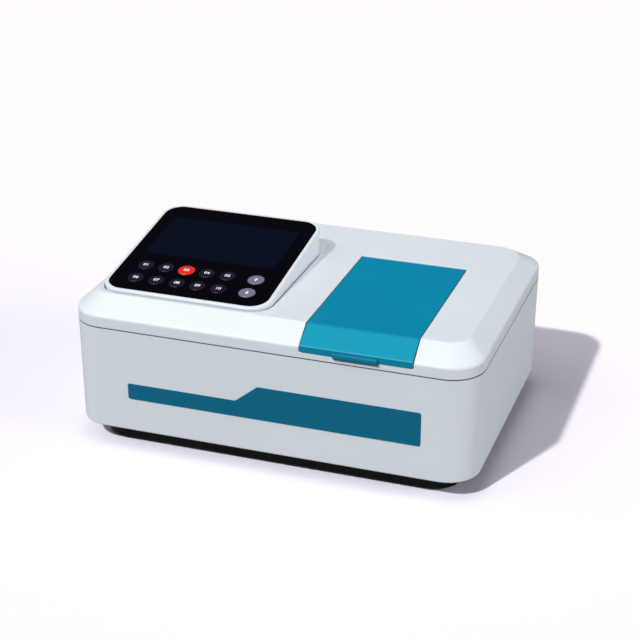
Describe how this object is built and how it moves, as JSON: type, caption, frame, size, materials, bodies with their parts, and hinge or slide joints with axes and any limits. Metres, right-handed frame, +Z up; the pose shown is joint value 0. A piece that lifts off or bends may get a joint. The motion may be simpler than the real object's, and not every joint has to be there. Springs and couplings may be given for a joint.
{
  "type": "visible spectrophotometer",
  "caption": "Bench-top visible spectrophotometer: white case, tilting display console with round keys, hinged blue sample lid, chassis tray and inner optics.",
  "frame": {"origin": "on the bench, under the middle of the instrument's bounding box", "axes": "+Z up, +X to the operator's right along the case's long side, -Y towards the operator"},
  "size_m": [0.46, 0.3328, 0.2059],
  "materials": {
    "case_white": "fine moulded texture",
    "base_black": "glossy",
    "foot_rubber": "matte",
    "lid_blue": "satin",
    "stripe_blue": "satin",
    "panel_black": "high gloss",
    "key_navy": "satin",
    "key_slate": "satin",
    "key_red": "satin",
    "screen_dark": "smooth",
    "board_green": "satin",
    "steel": "ground",
    "zinc_steel": "bright plated",
    "cast_aluminium": "cast",
    "chamber_black": "black anodised",
    "motor_black": "satin",
    "mirror_coat": "polished",
    "grating_glass": "ruled",
    "window_glass": "polished",
    "foam_black": "foam",
    "ceramic_white": "glazed",
    "fan_black": "satin",
    "socket_black": "satin",
    "rocker_black": "satin"
  },
  "bodies": {
    "housing": {"base_chassis": "base_black", "rubber_feet": "foot_rubber", "lower_case": "case_white", "upper_cover": "case_white", "case_screws": "zinc_steel", "front_stripe": "stripe_blue", "lid_hinge_pin": "steel", "sample_chamber": "chamber_black", "chamber_seal": "foam_black", "beam_windows": "window_glass", "guide_rods": "zinc_steel", "carriage_motor": "motor_black", "tilt_brackets": "steel", "optical_bench": "cast_aluminium", "monochromator_housing": "cast_aluminium", "monochromator_cover": "cast_aluminium", "slit_plates": "steel", "mirrors": "mirror_coat", "grating_motor": "motor_black", "filter_motor": "steel", "lamp_house": "steel", "lamp_socket": "ceramic_white", "halogen_lamp": "window_glass", "detector_housing": "chamber_black", "detector_board": "board_green", "main_board": "board_green", "power_supply": "steel", "supply_board": "board_green", "rear_panel": "steel", "fan_frame": "fan_black", "mains_inlet": "socket_black", "power_switch": "socket_black", "data_ports": "zinc_steel"},
    "lid": {"compartment_lid": "lid_blue"},
    "console": {"display_bezel": "case_white", "front_panel": "panel_black", "display_screen": "screen_dark", "key_board": "board_green", "display_shell": "case_white", "tilt_pins": "steel"},
    "key_rear_1_body": {"key_rear_1": "key_navy"},
    "key_rear_2_body": {"key_rear_2": "key_navy"},
    "red_key_body": {"red_key": "key_red"},
    "key_rear_4_body": {"key_rear_4": "key_navy"},
    "key_rear_5_body": {"key_rear_5": "key_navy"},
    "key_front_1_body": {"key_front_1": "key_navy"},
    "key_front_2_body": {"key_front_2": "key_navy"},
    "key_front_3_body": {"key_front_3": "key_navy"},
    "key_front_4_body": {"key_front_4": "key_navy"},
    "key_front_5_body": {"key_front_5": "key_navy"},
    "up_key_body": {"up_key": "key_slate"},
    "down_key_body": {"down_key": "key_slate"},
    "cell_slide": {"cell_carriage": "chamber_black"},
    "lead_screw": {"carriage_screw": "steel"},
    "grating_turntable": {"grating_table": "cast_aluminium", "grating": "grating_glass"},
    "filter_disc": {"filter_wheel": "chamber_black"},
    "fan": {"fan_rotor": "fan_black"},
    "fuse_tray": {"fuse_drawer": "socket_black"},
    "rocker": {"power_rocker": "rocker_black"}
  },
  "joints": [
    {"name": "lid_hinge", "type": "hinge", "parent": "housing", "child": "lid", "pos_m": [0.10075, 0.05318, 0.1709], "axis": [-1, 0, 0], "range_deg": [0, 95]},
    {"name": "console_tilt", "type": "hinge", "parent": "housing", "child": "console", "pos_m": [-0.10705, -0.12233, 0.17036], "axis": [1, 0, 0], "range_deg": [-8.15, 10]},
    {"name": "key_rear_1_press", "type": "slide", "parent": "console", "child": "key_rear_1_body", "axis": [0, 0.1418, -0.9899], "range_m": [0, 0.0008], "stiffness_N_per_m": 800, "springref_m": -0.0005},
    {"name": "key_rear_2_press", "type": "slide", "parent": "console", "child": "key_rear_2_body", "axis": [0, 0.1418, -0.9899], "range_m": [0, 0.0008], "stiffness_N_per_m": 800, "springref_m": -0.0005},
    {"name": "red_key_press", "type": "slide", "parent": "console", "child": "red_key_body", "axis": [0, 0.1418, -0.9899], "range_m": [0, 0.0008], "stiffness_N_per_m": 800, "springref_m": -0.0005},
    {"name": "key_rear_4_press", "type": "slide", "parent": "console", "child": "key_rear_4_body", "axis": [0, 0.1418, -0.9899], "range_m": [0, 0.0008], "stiffness_N_per_m": 800, "springref_m": -0.0005},
    {"name": "key_rear_5_press", "type": "slide", "parent": "console", "child": "key_rear_5_body", "axis": [0, 0.1418, -0.9899], "range_m": [0, 0.0008], "stiffness_N_per_m": 800, "springref_m": -0.0005},
    {"name": "key_front_1_press", "type": "slide", "parent": "console", "child": "key_front_1_body", "axis": [0, 0.1418, -0.9899], "range_m": [0, 0.0008], "stiffness_N_per_m": 800, "springref_m": -0.0005},
    {"name": "key_front_2_press", "type": "slide", "parent": "console", "child": "key_front_2_body", "axis": [0, 0.1418, -0.9899], "range_m": [0, 0.0008], "stiffness_N_per_m": 800, "springref_m": -0.0005},
    {"name": "key_front_3_press", "type": "slide", "parent": "console", "child": "key_front_3_body", "axis": [0, 0.1418, -0.9899], "range_m": [0, 0.0008], "stiffness_N_per_m": 800, "springref_m": -0.0005},
    {"name": "key_front_4_press", "type": "slide", "parent": "console", "child": "key_front_4_body", "axis": [0, 0.1418, -0.9899], "range_m": [0, 0.0008], "stiffness_N_per_m": 800, "springref_m": -0.0005},
    {"name": "key_front_5_press", "type": "slide", "parent": "console", "child": "key_front_5_body", "axis": [0, 0.1418, -0.9899], "range_m": [0, 0.0008], "stiffness_N_per_m": 800, "springref_m": -0.0005},
    {"name": "up_key_press", "type": "slide", "parent": "console", "child": "up_key_body", "axis": [0, 0.1418, -0.9899], "range_m": [0, 0.0008], "stiffness_N_per_m": 800, "springref_m": -0.0005},
    {"name": "down_key_press", "type": "slide", "parent": "console", "child": "down_key_body", "axis": [0, 0.1418, -0.9899], "range_m": [0, 0.0008], "stiffness_N_per_m": 800, "springref_m": -0.0005},
    {"name": "carriage_slide", "type": "slide", "parent": "housing", "child": "cell_slide", "axis": [0, 1, 0], "range_m": [0, 0.06]},
    {"name": "screw_turn", "type": "hinge", "parent": "housing", "child": "lead_screw", "pos_m": [0.10075, -0.04283, 0.062], "axis": [0, -1, 0], "range_deg": [-1, 2701]},
    {"name": "grating_turn", "type": "hinge", "parent": "housing", "child": "grating_turntable", "pos_m": [-0.04, -0.07783, 0.08], "axis": [0, 0, 1], "range_deg": [-30, 30]},
    {"name": "filter_turn", "type": "hinge", "parent": "housing", "child": "filter_disc", "pos_m": [-0.043, 0.06542, 0.088], "axis": [0, 1, 0], "continuous": true},
    {"name": "fan_spin", "type": "hinge", "parent": "housing", "child": "fan", "pos_m": [-0.06, 0.14517, 0.085], "axis": [0, 1, 0], "continuous": true},
    {"name": "fuse_drawer_slide", "type": "slide", "parent": "housing", "child": "fuse_tray", "axis": [0, 1, 0], "range_m": [0, 0.02]},
    {"name": "rocker_tip", "type": "hinge", "parent": "housing", "child": "rocker", "pos_m": [-0.11, 0.15618, 0.072], "axis": [1, 0, 0], "range_deg": [-18, 0]}
  ],
  "couplings": [
    {"joint": "screw_turn", "follows": "carriage_slide", "rad_per_m": 785.4}
  ]
}
